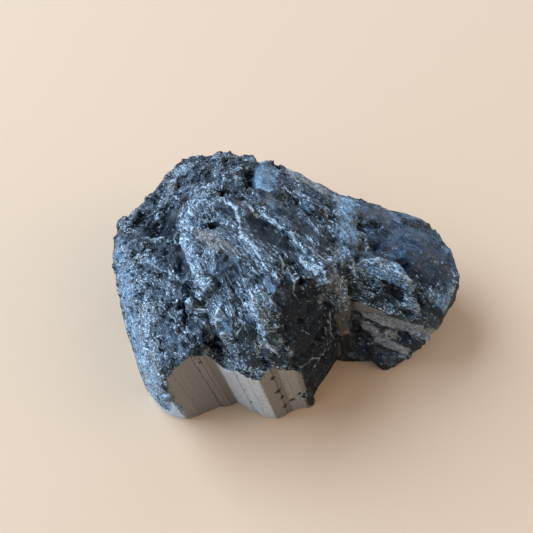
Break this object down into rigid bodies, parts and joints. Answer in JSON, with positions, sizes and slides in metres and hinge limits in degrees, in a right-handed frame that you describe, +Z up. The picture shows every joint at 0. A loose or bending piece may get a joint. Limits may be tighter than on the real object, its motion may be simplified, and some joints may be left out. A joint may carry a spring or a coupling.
{
  "type": "rough black tourmaline crystal",
  "caption": "Rough broken piece of black tourmaline with flat prism faces round its sides and an uneven break on top, which rests on its flat foot",
  "frame": {"origin": "middle of the foot of the bounding box, on the plane that the stone rests on", "axes": "+Z up, +X along the stone's longest side towards its thin end, +Y towards its back"},
  "size_m": [0.0564, 0.0436, 0.0238],
  "materials": {
    "tourmaline": "glassy"
  },
  "bodies": {
    "root": {"tourmaline": "tourmaline"}
  },
  "joints": []
}
